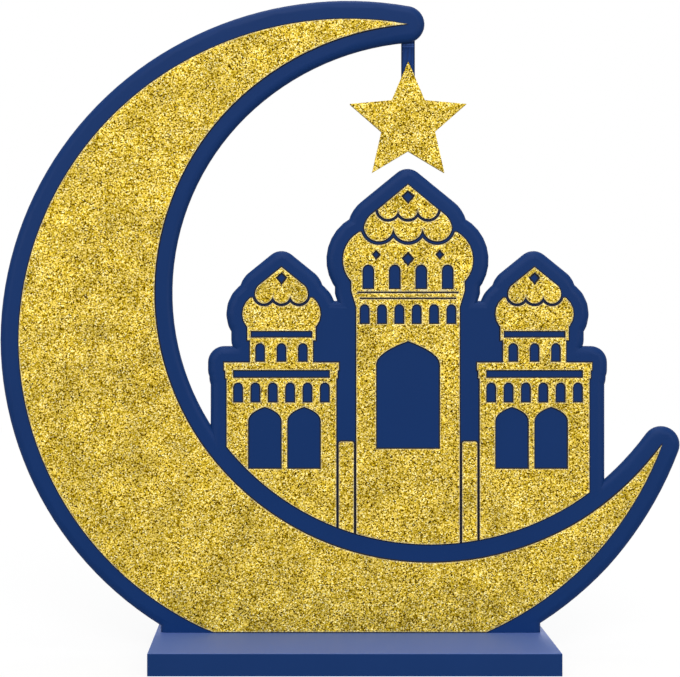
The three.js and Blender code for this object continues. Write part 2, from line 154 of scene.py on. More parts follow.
# %% Open a node group
KINDS = {"value": "NodeSocketFloat", "colour": "NodeSocketColor", "vector": "NodeSocketVector"}


def open_group(title, inputs, outputs):
    tree = bpy.data.node_groups.new(title, "ShaderNodeTree")
    for name, kind, value in inputs:
        socket = tree.interface.new_socket(name, in_out="INPUT", socket_type=KINDS[kind])
        if value is not None:
            socket.default_value = value
    for name, kind in outputs:
        tree.interface.new_socket(name, in_out="OUTPUT", socket_type=KINDS[kind])
    return tree, tree.nodes.new("NodeGroupInput").outputs, tree.nodes.new("NodeGroupOutput")


def close_group(tree, leave, results):
    for name, socket in results.items():
        tree.links.new(socket, leave.inputs[name])
    print("node group:", tree.name, "with", len(tree.nodes), "nodes")


def use_group(tree, group, sockets):
    return fill(tree, add(tree, "ShaderNodeGroup", node_tree=group), sockets)


# %% [markdown]
# ## Colours as the photograph shows them
# Colours are noted the way an image viewer gives them, from 0 to 255. Blender reckons with
# light, so each one is turned into linear values before it goes into a socket.

# %% Turn a screen colour into light
def screen(red, green, blue):
    def light(step):
        share = step / 255
        return share / 12.92 if share <= 0.04045 else ((share + 0.055) / 1.055) ** 2.4

    return (light(red), light(green), light(blue), 1.0)


NAVY = screen(12, 47, 100)
print("navy in light:", [round(value, 4) for value in NAVY[:3]])

# %% [markdown]
# ## Studio
# The photograph has a plain white ground. A pale floor stands for it, and its shader shows
# white where the camera looks at it, mixed with a real pale surface that keeps the object's
# soft shadow. The main lamp hangs high in front, so that edges that look up are lighter and
# edges that look down are darker, as in the photograph. Two weak lamps fill in from the
# sides, one overhead lights the slab's top, one stands behind, and an even grey surround
# does the rest. Together they are just bright enough that a colour renders as it is written.

# %% Lay the floor
WHITE = (1.0, 1.0, 1.0, 1.0)
FLOOR_HALF = 3.0
FLOOR_DROP = 0.0001
FLOOR_WHITENESS = 0.86
FLOOR_SEEN = 0.9
FLOOR_BOUNCE = 0.2
FADE_START = 0.3
FADE_END = 1.1


def square_mesh(name, half, height):
    mesh = bpy.data.meshes.new(name)
    signs = [(-1, -1), (1, -1), (1, 1), (-1, 1)]
    corners = [(x * half, y * half, height) for x, y in signs]
    mesh.from_pydata(corners, [], [(0, 1, 2, 3)])
    return mesh


floor = bpy.data.objects.new("floor", square_mesh("floor", FLOOR_HALF, -FLOOR_DROP))
bpy.context.scene.collection.objects.link(floor)


def background_share(tree):
    path = add(tree, "ShaderNodeLightPath").outputs
    seen = maths(tree, "ADD", path["Is Camera Ray"], path["Is Glossy Ray"])
    return maths(tree, "MINIMUM", maths(tree, "ADD", seen, path["Is Transmission Ray"]), 1.0)


floor_finish = bpy.data.materials.new("floor_white")
floor_finish.use_nodes = True
tree = floor_finish.node_tree
tree.nodes.clear()
shown = background_share(tree)
paleness = ranged(tree, shown, low=FLOOR_BOUNCE, high=FLOOR_SEEN)
matt = add(tree, "ShaderNodeBsdfDiffuse", {"Color": paleness}).outputs[0]
white = add(tree, "ShaderNodeEmission", {"Color": WHITE, "Strength": 1.0}).outputs[0]
spot = add(tree, "ShaderNodeTexCoord").outputs["Object"]
distance = add(tree, "ShaderNodeVectorMath", {0: spot}, operation="LENGTH").outputs["Value"]
fade = ranged(tree, distance, FADE_START, FADE_END, FLOOR_WHITENESS)
whiteness = maths(tree, "MULTIPLY", shown, fade)
floor_mix = add(tree, "ShaderNodeMixShader", {0: whiteness, 1: matt, 2: white})
add(tree, "ShaderNodeOutputMaterial", {"Surface": floor_mix.outputs[0]})
floor.data.materials.append(floor_finish)

# %% Surround the object with even light
SURROUND_LIGHT = 0.36

world = bpy.data.worlds.new("studio")
world.use_nodes = True
bpy.context.scene.world = world
tree = world.node_tree
tree.nodes.clear()
strength = ranged(tree, background_share(tree), low=SURROUND_LIGHT)
sky = add(tree, "ShaderNodeBackground", {"Color": WHITE, "Strength": strength})
add(tree, "ShaderNodeOutputWorld", {"Surface": sky.outputs[0]})

# %% Hang the lamps
OBJECT_MIDDLE = Vector((0.0, 0.0, 0.14))
LAMPS = [
    ("key_lamp", (-0.15, -4.8, 4.0), 4.0, 192.0),
    ("left_fill_lamp", (-1.35, -2.2, 0.5), 0.9, 11.8),
    ("right_fill_lamp", (1.35, -2.2, 0.5), 0.9, 12.2),
    ("overhead_lamp", (0.0, 0.0, 2.2), 1.2, 18.0),
    ("back_lamp", (0.4, 1.8, 1.0), 1.2, 15.0),
]


def hang_lamp(name, place, size, watts):
    light = bpy.data.lights.new(name, "AREA")
    light.size = size
    light.energy = watts
    lamp = bpy.data.objects.new(name, light)
    lamp.location = place
    lamp.rotation_euler = (OBJECT_MIDDLE - Vector(place)).to_track_quat("-Z", "Y").to_euler()
    bpy.context.scene.collection.objects.link(lamp)


for name, place, size, watts in LAMPS:
    hang_lamp(name, place, size, watts)
bpy.context.scene.view_settings.view_transform = "Standard"
print("lamps:", len(LAMPS), "with", sum(watts for *_, watts in LAMPS), "W")

# %% [markdown]
# ## Rubbed edges
# Paint thins where hands and boxes touch it, along the rounded edges. The model's surface
# already tells where those are: a flat face looks straight along one of its axes, and a
# rounded edge doesn't. This group takes that flatness and breaks the edge up with noise, so
# that the rub isn't an even line.

# %% Rubbed edge group
RUB_STARTS, RUB_FULL = 0.02, 0.7
LEAST_RUB = 0.45

rub_group, given, leave = open_group(
    "Rubbed Edge",
    [("Place", "vector", None), ("Flatness", "value", 1.0), ("Patch Size", "value", 0.006)],
    [("Rub", "value")],
)
tree = rub_group
patch_scale = maths(tree, "DIVIDE", 1.0, given["Patch Size"])
patches = noise(tree, given["Place"], patch_scale, 3.0)
turned = maths(tree, "SUBTRACT", 1.0, given["Flatness"])
edge = ranged(tree, turned, RUB_STARTS, RUB_FULL)
uneven = ranged(tree, patches, 0.3, 0.7, LEAST_RUB)
close_group(tree, leave, {"Rub": maths(tree, "MULTIPLY", edge, uneven)})

# %% [markdown]
# ## Satin paint
# The board and the slab are sealed and rolled with navy satin paint. Up close it has a fine
# pebbled skin, faint cloudy differences in tone, and a few tiny specks of dust. All of this is
# very quiet, because from the photograph's distance the paint looks even. The group gives the
# colour, the roughness and the height of the skin, and the material itself holds the shader.

# %% Satin paint group
NAVY_RUBBED = screen(22, 52, 101)
DUST = screen(90, 108, 148)
DUST_SHARE = 0.25
SPECKS_PER_METRE = 420.0
SPECK_SIZE = 0.07
RUBBED_ROUGHER = 0.08

paint_group, given, leave = open_group(
    "Satin Paint",
    [
        ("Place", "vector", None),
        ("Paint", "colour", NAVY),
        ("Rubbed Paint", "colour", NAVY_RUBBED),
        ("Rub", "value", 0.0),
        ("Cloud Size", "value", 0.035),
        ("Pebble Size", "value", 0.0006),
    ],
    [("Colour", "colour"), ("Roughness", "value"), ("Height", "value")],
)
tree = paint_group
cloud_scale = maths(tree, "DIVIDE", 1.0, given["Cloud Size"])
pebble_scale = maths(tree, "DIVIDE", 1.0, given["Pebble Size"])
clouds = noise(tree, given["Place"], cloud_scale, 4.0)
pebbles = noise(tree, given["Place"], pebble_scale, 2.0)
spread = {"Vector": given["Place"], "Scale": SPECKS_PER_METRE}
specks = add(tree, "ShaderNodeTexVoronoi", spread).outputs["Distance"]
speck = ranged(tree, specks, 0.0, SPECK_SIZE, 1.0, 0.0)
toned = scaled(tree, given["Paint"], ranged(tree, clouds, low=0.93, high=1.07))
rubbed = mixed(tree, given["Rub"], toned, given["Rubbed Paint"])
dusted = mixed(tree, maths(tree, "MULTIPLY", speck, DUST_SHARE), rubbed, DUST)
skin = ranged(tree, clouds, low=0.36, high=0.52)
worn_skin = maths(tree, "ADD", skin, maths(tree, "MULTIPLY", given["Rub"], RUBBED_ROUGHER))
close_group(tree, leave, {"Colour": dusted, "Roughness": worn_skin, "Height": pebbles})

# %% [markdown]
# ## Navy board
# The board's large faces look along Y, so its flatness is how squarely a point faces forwards
# or back. The material reads that from the object's own normal, which keeps the rub in place
# when the board is lifted out of the slab.

# %% Board material
PEBBLE_HEIGHT = 0.00003
PEBBLE_STRENGTH = 0.5


def begin_material(name):
    material = bpy.data.materials.new(name)
    material.use_nodes = True
    material.node_tree.nodes.clear()
    return material, material.node_tree


def finish_material(material, colour, roughness, normal, plain):
    tree = material.node_tree
    shader = add(tree, "ShaderNodeBsdfPrincipled", plain)
    fill(tree, shader, {"Base Color": colour, "Roughness": roughness, "Normal": normal})
    add(tree, "ShaderNodeOutputMaterial", {"Surface": shader.outputs[0]})
    print("material:", material.name, "with", len(tree.nodes), "nodes")


def painted(material, place, sockets, shine):
    tree = material.node_tree
    paint = use_group(tree, paint_group, dict(sockets, Place=place)).outputs
    skin = bumped(tree, paint["Height"], PEBBLE_STRENGTH, PEBBLE_HEIGHT)
    plain = {"Specular IOR Level": shine}
    finish_material(material, paint["Colour"], paint["Roughness"], skin, plain)


board_finish, tree = begin_material("navy_board_paint")
where = add(tree, "ShaderNodeTexCoord").outputs
facing = add(tree, "ShaderNodeSeparateXYZ", {0: where["Normal"]}).outputs
flatness = maths(tree, "ABSOLUTE", facing["Y"])
rub = use_group(tree, rub_group, {"Place": where["Object"], "Flatness": flatness})
painted(board_finish, where["Object"], {"Rub": rub.outputs[0]}, 0.1)

# %% [markdown]
# ## Navy slab
# The slab is painted the same navy, and its top is coloured a paler slate blue, with a still
# paler line along its front edge. That paler top is painted light, the look of light falling on
# a face that looks up, and no second coat; the material picks it by which way the face looks.
# Its edges are rubbed like the board's, and on the slab the rubbed colour is a copy of that
# painted light.

# %% Slab material
SLAB_FRONT = screen(25, 54, 106)
# Painted light: the top's paler colour, and a rubbed copy of it for the slab's worn edges.
SLAB_TOP_PAINTED_LIGHT = screen(88, 110, 171)
SLAB_RUBBED_PAINTED_LIGHT = screen(84, 108, 168)

slab_finish, tree = begin_material("navy_slab_paint")
where = add(tree, "ShaderNodeTexCoord").outputs
facing = add(tree, "ShaderNodeSeparateXYZ", {0: where["Normal"]}).outputs
across, deep, high = (maths(tree, "ABSOLUTE", facing[axis]) for axis in "XYZ")
flatness = maths(tree, "MAXIMUM", maths(tree, "MAXIMUM", across, deep), high)
rub = use_group(tree, rub_group, {"Place": where["Object"], "Flatness": flatness})
# Faces that look up get the painted-light top colour, the others the navy paint.
paint_with_top_light = mixed(tree, ranged(tree, facing["Z"], 0.35, 0.75), SLAB_FRONT, SLAB_TOP_PAINTED_LIGHT)
slab_sockets = {"Rub": rub.outputs[0], "Paint": paint_with_top_light, "Rubbed Paint": SLAB_RUBBED_PAINTED_LIGHT}
painted(slab_finish, where["Object"], slab_sockets, 0.05)

# %% [markdown]
# ## Smooth rounded edges
# The board's edge is rounded in a few steps. To let light run round it evenly, a modifier
# joins the faces, keeps only the sharp corners sharp, and a second one leans every normal
# towards the larger face beside it, so that the big flat faces stay flat. The vertices stay
# where the model has them.

# %% Smoothing modifiers
SHARP_CORNER = math.radians(40)
JOIN_DISTANCE = 0.000002
FLAT_FACE_WEIGHT = 80

smoothing = bpy.data.node_groups.new("Smooth Round Edges", "GeometryNodeTree")
smoothing.interface.new_socket("Geometry", in_out="INPUT", socket_type="NodeSocketGeometry")
smoothing.interface.new_socket("Geometry", in_out="OUTPUT", socket_type="NodeSocketGeometry")
came = smoothing.nodes.new("NodeGroupInput").outputs
joined = {"Geometry": came[0], "Distance": JOIN_DISTANCE}
weld = add(smoothing, "GeometryNodeMergeByDistance", joined)
bend = add(smoothing, "GeometryNodeInputMeshEdgeAngle").outputs["Unsigned Angle"]
sharp = add(smoothing, "FunctionNodeCompare", {0: bend, 1: SHARP_CORNER}, operation="GREATER_THAN")
shaded = add(smoothing, "GeometryNodeSetMeshNormal", {"Mesh": weld.outputs[0]}, mode="SHARPNESS")
fill(smoothing, shaded, {"Edge Sharpness": sharp.outputs[0]})
add(smoothing, "NodeGroupOutput", {0: shaded.outputs[0]})


def smooth_edges(piece):
    rounding = piece.modifiers.new("smooth_round_edges", "NODES")
    rounding.node_group = smoothing
    leaning = piece.modifiers.new("keep_faces_flat", "WEIGHTED_NORMAL")
    leaning.keep_sharp = True
    leaning.weight = FLAT_FACE_WEIGHT


def coat_node(name, material):
    piece = nodes[name]
    piece.data.materials.clear()
    piece.data.materials.append(material)
    smooth_edges(piece)
    print("painted:", name, "with", material.name)


coat_node("backing_board", board_finish)
coat_node("base_slab", slab_finish)

# %% [markdown]
# ## Gold glitter
# Glitter card is covered in tiny flakes of gilded film, each about half a millimetre across
# and tilted its own way. A Voronoi texture gives each flake its own random colour, and that
# one colour is used three times: to pick a tone from dark olive to pale gold, to tilt the
# flake's normal, and to vary its roughness. Slow noise makes cloudy patches, lighter where the
# flakes lie thick and darker where they lie thin. Along a cut the knife has broken flakes off,
# so a narrow rim shows some of the pale core. The model's diamonds are a little smaller than
# the real ones, so the flakes right round them are smeared dark, as if with glue, and the
# diamonds look larger.

# %% Glitter group
GOLD_TONES = [
    (0.0, screen(34, 20, 0)),
    (0.1, screen(92, 68, 0)),
    (0.28, screen(152, 121, 0)),
    (0.5, screen(199, 170, 38)),
    (0.72, screen(226, 197, 80)),
    (0.92, screen(250, 222, 122)),
    (1.0, screen(255, 242, 176)),
]
MIDDLE_GREY = (0.5, 0.5, 0.5)
# Painted glint: the pale colour given to the flakes that stand in for glints.
PAINTED_GLINT_COLOUR = screen(255, 244, 176)
BARE_SHARE = 0.75
SMEAR_STARTS, SMEAR_FULL = 0.58, 0.8

glitter_group, given, leave = open_group(
    "Glitter Flakes",
    [
        ("Place", "vector", None),
        ("Flake Size", "value", 0.00046),
        ("Tilt", "value", 0.35),
        ("Patch Size", "value", 0.01),
        ("Patch Depth", "value", 0.9),
        ("Painted Glint Share", "value", 0.02),
        ("Rim", "value", 0.0),
        ("Bare Core", "colour", screen(206, 196, 160)),
        ("Smear", "value", 0.0),
        ("Glue", "colour", screen(24, 28, 42)),
    ],
    [("Colour", "colour"), ("Roughness", "value"), ("Normal", "vector")],
)
tree = glitter_group
flake_scale = maths(tree, "DIVIDE", 1.0, given["Flake Size"])
flakes = add(tree, "ShaderNodeTexVoronoi", {"Vector": given["Place"], "Scale": flake_scale})
chance = add(tree, "ShaderNodeSeparateColor", {0: flakes.outputs["Color"]}).outputs
patch_scale = maths(tree, "DIVIDE", 1.0, given["Patch Size"])
patches = maths(tree, "SUBTRACT", noise(tree, given["Place"], patch_scale, 1.5), 0.5)
patch = maths(tree, "MULTIPLY", patches, given["Patch Depth"])
tone = add(tree, "ShaderNodeValToRGB", {0: chance[0]})
ramp = tone.color_ramp
while len(ramp.elements) < len(GOLD_TONES):
    ramp.elements.new(0.5)
for stop, (position, colour) in zip(ramp.elements, GOLD_TONES):
    stop.position = position
    stop.color = colour
# Painted glints: a small share of flakes is coloured pale, as if each caught a lamp.
painted_glint_level = maths(tree, "SUBTRACT", 1.0, given["Painted Glint Share"])
painted_glint_flakes = maths(tree, "GREATER_THAN", chance[1], painted_glint_level)
with_painted_glints = mixed(tree, painted_glint_flakes, tone.outputs[0], PAINTED_GLINT_COLOUR)
clouded = scaled(tree, with_painted_glints, maths(tree, "ADD", patch, 1.0))
bare = maths(tree, "MULTIPLY", maths(tree, "POWER", given["Rim"], 2.0), BARE_SHARE)
rimmed = mixed(tree, bare, clouded, given["Bare Core"])
crept = ranged(tree, given["Smear"], SMEAR_STARTS, SMEAR_FULL)
smeared = mixed(tree, crept, rimmed, given["Glue"])
lean = add(tree, "ShaderNodeVectorMath", {1: MIDDLE_GREY}, operation="SUBTRACT")
fill(tree, lean, {0: flakes.outputs["Color"]})
leaning = scaled(tree, lean.outputs[0], given["Tilt"])
upright = add(tree, "ShaderNodeNewGeometry").outputs["Normal"]
tilted = add(tree, "ShaderNodeVectorMath", {0: upright, 1: leaning}, operation="ADD").outputs[0]
facing = add(tree, "ShaderNodeVectorMath", {0: tilted}, operation="NORMALIZE").outputs[0]
gloss = ranged(tree, chance[2], low=0.28, high=0.6)
close_group(tree, leave, {"Colour": smeared, "Roughness": gloss, "Normal": facing})

# %% Glitter material
glitter_finish, tree = begin_material("gold_glitter_flakes")
where = add(tree, "ShaderNodeTexCoord").outputs
rim = add(tree, "ShaderNodeAttribute", attribute_name="rim").outputs["Fac"]
smear = add(tree, "ShaderNodeAttribute", attribute_name="smear").outputs["Fac"]
flake_sockets = {"Place": where["Object"], "Rim": rim, "Smear": smear}
flaked = use_group(tree, glitter_group, flake_sockets).outputs
plain = {"Metallic": 0.35, "Specular IOR Level": 0.0}
finish_material(glitter_finish, flaked["Colour"], flaked["Roughness"], flaked["Normal"], plain)

# %% [markdown]
# ## Cut edge of the card
# Where the glitter card is cut, its core shows: a dull brownish gold, pressed in thin layers
# along the thickness. Stretched noise gives the layers, and a finer one the fuzz of the cut.

# %% Cut edge material
CORE_DARK = screen(120, 96, 32)
CORE_PALE = screen(170, 142, 62)
LAYER_SCALE = (300.0, 9000.0, 300.0)
FUZZ_SCALE = 2600.0
FUZZ_HEIGHT = 0.00005

core_finish, tree = begin_material("cut_card_core")
where = add(tree, "ShaderNodeTexCoord").outputs
stretch = add(tree, "ShaderNodeMapping", {"Vector": where["Object"], "Scale": LAYER_SCALE})
layers = noise(tree, stretch.outputs[0], 1.0, 2.0)
fuzz = noise(tree, where["Object"], FUZZ_SCALE, 2.0)
core = mixed(tree, layers, CORE_DARK, CORE_PALE)
fuzzy = bumped(tree, fuzz, 0.6, FUZZ_HEIGHT)
dull = ranged(tree, fuzz, low=0.6, high=0.85)
finish_material(core_finish, core, dull, fuzzy, {"Specular IOR Level": 0.3})

# %% [markdown]
# ## Grained glitter faces
# A glitter surface isn't flat: flakes stick up and lie over each other, and that roughness
# shows along an edge and in raking light. Each panel therefore gets a real grained face. It
# starts as a copy of the panel's own mesh, loses its flat front, and gets it back as a fine
# net of triangles between the very same edges. The net's points are a jittered lattice, and
# each sits a little higher or lower than its neighbours. A constrained Delaunay triangulation
# joins them without ever crossing a window or a scallop. It also fills the windows, so its
# triangles are sorted into the regions that the outlines fence off, and a region is kept only
# when most of its area lies on the card. That judges the thinnest triangles safely too. A
# diamond is told from the other openings by its shape: it is small and fills half of the box
# around it. Its outline is marked, so that the flakes beside it can be smeared.

# %% Find what lies inside an outline
def inside(points, edges):
    within = np.zeros(len(points), bool)
    x, z = points[:, 0], points[:, 1]
    for (ax, az), (bx, bz) in edges:
        spans = (az > z) != (bz > z)
        if spans.any():
            crossing = ax + (z - az) * (bx - ax) / (bz - az if bz != az else 1.0)
            within ^= spans & (x < crossing)
    return within


# %% Scatter the net's points
GRAIN_PITCH = 0.8
GRAIN_JITTER = 0.3
RIM_CLEARANCE = 0.55


def lattice(low, high, chance):
    rows = int((high[1] - low[1]) / (GRAIN_PITCH * math.sqrt(0.75))) + 1
    columns = int((high[0] - low[0]) / GRAIN_PITCH) + 2
    row, column = np.mgrid[0:rows, 0:columns]
    x = low[0] + (column + 0.5 * (row % 2)) * GRAIN_PITCH
    z = low[1] + row * GRAIN_PITCH * math.sqrt(0.75)
    points = np.stack([x.ravel(), z.ravel()], 1)
    return points + chance.uniform(-GRAIN_JITTER, GRAIN_JITTER, points.shape) * GRAIN_PITCH


def clear_of_rim(points, rim):
    tree = KDTree(len(rim))
    for i, (x, z) in enumerate(rim):
        tree.insert((x, z, 0.0), i)
    tree.balance()
    return np.array([tree.find((x, z, 0.0))[2] > RIM_CLEARANCE * GRAIN_PITCH for x, z in points])


# %% Keep the regions that lie on the card
SLIVER = 0.001


def fenced_regions(faces, fences):
    leader = list(range(len(faces)))

    def find(i):
        while leader[i] != i:
            leader[i] = leader[leader[i]]
            i = leader[i]
        return i

    first = {}
    for i, face in enumerate(faces):
        for pair in zip(face, face[1:] + face[:1]):
            side = frozenset(pair)
            if side not in fences:
                leader[find(i)] = find(first.setdefault(side, i))
    return np.array([find(i) for i in range(len(faces))])


def on_the_card(placed, faces, fences, outline):
    corners = np.array([[placed[i] for i in face] for face in faces], float)
    a, b, c = corners[:, 0], corners[:, 1], corners[:, 2]
    area = abs((b - a)[:, 0] * (c - a)[:, 1] - (b - a)[:, 1] * (c - a)[:, 0]) / 2
    votes = np.where(inside(corners.mean(1), outline), area, -area)
    region = fenced_regions(faces, fences)
    return np.bincount(region, weights=votes)[region] > SLIVER


# %% Take a flat face out of a copy of the mesh
MILLIMETRES = 1000.0
FLAT = 0.000001


def opened_copy(node, side):
    net = bmesh.new()
    net.from_mesh(nodes[node].data)
    net.verts.layers.float.new("rim")
    net.verts.layers.float.new("smear")
    bmesh.ops.remove_doubles(net, verts=net.verts, dist=JOIN_DISTANCE)
    level = side * max(side * vertex.co.y for vertex in net.verts)
    face = [f for f in net.faces if all(abs(v.co.y - level) < FLAT for v in f.verts)]
    bmesh.ops.delete(net, geom=face, context="FACES")
    rim = [edge for edge in net.edges if edge.is_boundary]
    outline = [[(v.co.x * MILLIMETRES, v.co.z * MILLIMETRES) for v in edge.verts] for edge in rim]
    cuts = {}
    for edge in rim:
        count = math.ceil(edge.calc_length() * MILLIMETRES / GRAIN_PITCH) - 1
        cuts.setdefault(count, []).append(edge)
    for count, edges in cuts.items():
        if count > 0:
            bmesh.ops.bisect_edges(net, edges=edges, cuts=count)
    return net, level, outline


# %% Walk round the outlines
def walk_loops(edges):
    left = dict.fromkeys(edges)
    while left:
        edge = left.popitem()[0]
        start, vertex = edge.verts
        loop = [(start, edge)]
        while vertex is not start:
            edge = next(e for e in vertex.link_edges if e in left)
            del left[edge]
            loop.append((vertex, edge))
            vertex = edge.other_vert(vertex)
        yield loop


# %% Tell the diamonds from the windows
LARGEST_DIAMOND = 0.01
DIAMOND_SHARE = 0.5
SHARE_MARGIN = 0.02


def is_diamond(loop):
    x, z = np.array([(vertex.co.x, vertex.co.z) for vertex, _ in loop]).T
    width, height = np.ptp(x), np.ptp(z)
    area = abs(np.dot(x, np.roll(z, 1)) - np.dot(z, np.roll(x, 1))) / 2
    share = area / (width * height)
    return max(width, height) < LARGEST_DIAMOND and abs(share - DIAMOND_SHARE) < SHARE_MARGIN


# %% Fill it again with grain
GRAIN_HEIGHT = 0.00005
RIM_WEAR = 0.00004
TRIANGULATION_ERROR = 0.0001


def fill_with_grain(net, level, side, outline, bareness, chance):
    on_rim = net.verts.layers.float["rim"]
    rim_edges = [edge for edge in net.edges if edge.is_boundary]
    rim = list({vertex for edge in rim_edges for vertex in edge.verts})
    rim.sort(key=lambda vertex: (vertex.co.x, vertex.co.z, vertex.co.y))
    number = {vertex: i for i, vertex in enumerate(rim)}
    border = np.array([(v.co.x, v.co.z) for v in rim]) * MILLIMETRES
    points = lattice(border.min(0), border.max(0), chance)
    points = points[inside(points, outline)]
    points = points[clear_of_rim(points, border)]
    flat = [Vector(point) for point in np.concatenate([border, points])]
    links = [(number[edge.verts[0]], number[edge.verts[1]]) for edge in rim_edges]
    diamonds = [loop for loop in walk_loops(rim_edges) if is_diamond(loop)]
    smeared = net.verts.layers.float["smear"]
    for loop in diamonds:
        for vertex, _ in loop:
            vertex[smeared] = 1.0
    triangles = delaunay_2d_cdt(flat, links, [], 0, TRIANGULATION_ERROR)
    placed, sides, faces, origins, sources, _ = triangles
    fences = {frozenset(side) for side, source in zip(sides, sources) if source}
    kept = on_the_card(placed, faces, fences, outline)
    heights = level + side * chance.uniform(-GRAIN_HEIGHT, GRAIN_HEIGHT, len(placed))
    corners = []
    for i, point in enumerate(placed):
        original = origins[i][0]
        if original < len(rim):
            vertex = rim[original]
            vertex.co.y = level - side * RIM_WEAR
            vertex[on_rim] = bareness
        else:
            place = (point.x / MILLIMETRES, heights[i], point.y / MILLIMETRES)
            vertex = net.verts.new(place)
        corners.append(vertex)
    grain = []
    for face, keep in zip(faces, kept):
        if keep:
            order = face if side > 0 else list(reversed(face))
            grain.append(net.faces.new([corners[i] for i in reversed(order)]))
    return grain, len(diamonds)


# %% Turn a net into a piece
def make_piece(name, net, *finishes):
    mesh = bpy.data.meshes.new(name)
    net.to_mesh(mesh)
    net.free()
    for finish in finishes:
        mesh.materials.append(finish)
    piece = bpy.data.objects.new(name, mesh)
    bpy.context.scene.collection.objects.link(piece)
    return piece


# %% Dress a panel
def dress_in_glitter(name, node, side, seed, wall_finish, bareness):
    chance = np.random.default_rng(seed)
    net, level, outline = opened_copy(node, side)
    walls = set(net.faces)
    grain, diamonds = fill_with_grain(net, level, side, outline, bareness, chance)
    for face in net.faces:
        face.smooth = False
        face.material_index = 1 if face in walls else 0
    bmesh.ops.recalc_face_normals(net, faces=net.faces)
    open_edges = sum(not edge.is_manifold for edge in net.edges)
    counts = {"grain faces": len(grain), "diamonds": diamonds, "open edges": open_edges}
    print("dressed:", node, counts)
    return make_piece(name, net, glitter_finish, wall_finish)


# %% [markdown]
# ## Panels on the board
# Ten panels are glued on the board: the crescent, and for the towers their caps, scallops,
# fronts and pillar strips. Each grained panel rides on the board and stands for its own node.

# %% Dress the board's panels
BOARD_PANELS = [
    "crescent_panel",
    "centre_cap_panel",
    "centre_scallop_panel",
    "centre_tower_panel",
    "left_cap_panel",
    "left_tower_panel",
    "left_pillar_panel",
    "right_cap_panel",
    "right_tower_panel",
    "right_pillar_panel",
]
FRONT, BACK = -1, 1
CARD_RIM, FOAM_RIM = 1.0, 0.0

for seed, node in enumerate(BOARD_PANELS):
    name = node.replace("_panel", "_glitter")
    panel = dress_in_glitter(name, node, FRONT, seed, core_finish, CARD_RIM)
    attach(panel, "board")
    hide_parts(node)

# %% [markdown]
# ## Glue line with painted shadow
# A thin dark line runs round every gold panel, and inside the windows too. It is built as a
# bead of glue pressed out under the card and set in the corner between the card's edge and
# the paint, and its dark colour is painted shadow: it stands in for the shade in that corner.
# Each outline of each panel gets a closed ring with a small rounded section: it leans on the
# card's edge, bulges a little and thins out on the board. Just above the slab it is cut short,
# so that the board can still be lifted out.

# %% Follow a panel's outlines
def outlines(net):
    level = min(vertex.co.y for vertex in net.verts)
    front = {f for f in net.faces if all(abs(v.co.y - level) < FLAT for v in f.verts)}
    walls = {}
    for edge in net.edges:
        beside = [f for f in edge.link_faces if f not in front]
        if len(beside) == 1 and len(edge.link_faces) == 2:
            walls[edge] = beside[0].normal
    return [[(vertex, walls[edge]) for vertex, edge in loop] for loop in walk_loops(walls)]


# %% Lay a bead of glue
BEAD_SECTION = [
    (-0.00002, -0.00002),
    (-0.00002, 0.00024),
    (0.00026, 0.0002),
    (0.0005, 0.0001),
    (0.0006, -0.00002),
]
BEAD_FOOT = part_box("base_slab")[1].z + 0.0001
LONGEST_CORNER = 2.0


def corner_direction(before, after):
    towards = Vector((before.x + after.x, 0.0, before.z + after.z))
    stretch = 2 / max(towards.length_squared, 0.000001)
    return towards * min(stretch, LONGEST_CORNER / max(towards.length, 0.001))


def lay_bead(beads, loop, board_face):
    rings = []
    for i, (vertex, after) in enumerate(loop):
        towards = corner_direction(loop[i - 1][1], after)
        ring = []
        for out, up in BEAD_SECTION:
            place = vertex.co + towards * out
            ring.append(beads.verts.new((place.x, board_face - up, max(place.z, BEAD_FOOT))))
        rings.append(ring)
    for i, ring in enumerate(rings):
        previous = rings[i - 1]
        for j in range(len(ring)):
            face = beads.faces.new([previous[j - 1], previous[j], ring[j], ring[j - 1]])
            face.smooth = True


# %% Glue and painted shadow material
# Painted shadow: the bead's dark colours stand in for the shade where the card meets the board.
GLUE_SHADE_DARK = screen(20, 26, 44)
GLUE_SHADE_BROWN = screen(44, 38, 34)
LUMP_SCALE = 700.0
LUMP_HEIGHT = 0.00004

glue_shade_finish, tree = begin_material("glue_painted_shadow")
where = add(tree, "ShaderNodeTexCoord").outputs
smears = noise(tree, where["Object"], LUMP_SCALE, 3.0)
# The bead's colour: glue and painted shadow in one.
glue = mixed(tree, smears, GLUE_SHADE_DARK, GLUE_SHADE_BROWN)
lumps = bumped(tree, smears, 0.4, LUMP_HEIGHT)
dried = ranged(tree, smears, low=0.4, high=0.7)
finish_material(glue_shade_finish, glue, dried, lumps, {"Specular IOR Level": 0.1})

# %% Glue the panels on
beads = bmesh.new()
laid = 0
for node in BOARD_PANELS:
    net = bmesh.new()
    net.from_mesh(nodes[node].data)
    bmesh.ops.remove_doubles(net, verts=net.verts, dist=JOIN_DISTANCE)
    board_face = max(vertex.co.y for vertex in net.verts)
    for loop in outlines(net):
        lay_bead(beads, loop, board_face)
        laid += 1
    net.free()
bmesh.ops.recalc_face_normals(beads, faces=beads.faces)
open_edges = sum(not edge.is_manifold for edge in beads.edges)
print("glue beads:", laid, "faces:", len(beads.faces), "open edges:", open_edges)
glue_shade_beads = make_piece("glue_shade_beads", beads, glue_shade_finish)
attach(glue_shade_beads, "board")

# %% [markdown]
# ## Star
# The star is two layers of thick glitter foam closed over the ribbon's end. Their outer faces
# are grained, the front layer on its front and the back layer on its back, and glitter covers
# their cut edges too. Both ride on the star's own body, which swings and turns under the tip.

# %% Dress the star
STAR_SEED = 100
STAR_LAYERS = [
    ("star_front_glitter", "star_front", FRONT),
    ("star_back_glitter", "star_back", BACK),
]

for seed, (name, node, side) in enumerate(STAR_LAYERS, STAR_SEED):
    layer = dress_in_glitter(name, node, side, seed, glitter_finish, FOAM_RIM)
    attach(layer, "star")
    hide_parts(node)

